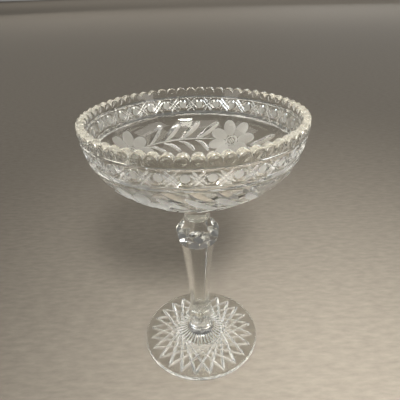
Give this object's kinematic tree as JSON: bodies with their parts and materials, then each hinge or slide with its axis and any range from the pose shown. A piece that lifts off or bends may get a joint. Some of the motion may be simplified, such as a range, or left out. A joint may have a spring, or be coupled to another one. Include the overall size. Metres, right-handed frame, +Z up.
{
  "type": "footed compote bowl",
  "caption": "Tall footed compote of clear cut glass: scallop-edged serving bowl on a panel-cut stem with a faceted knop, standing on a round star-cut foot.",
  "frame": {"origin": "centre of the foot's resting face", "axes": "+Z up along the axis of the stem and bowl, +Y away from the picture's viewer, +X to the viewer's right"},
  "size_m": [0.154, 0.154, 0.21],
  "materials": {
    "clear_crystal": "polished clear crystal with bright cut facets",
    "cut_crystal": "polished crystal with mitre cuts and matt ground flowers"
  },
  "bodies": {
    "root": {"foot": "clear_crystal", "foot_button": "clear_crystal", "stem": "clear_crystal", "neck_wafer": "clear_crystal", "bowl": "cut_crystal"}
  },
  "joints": []
}
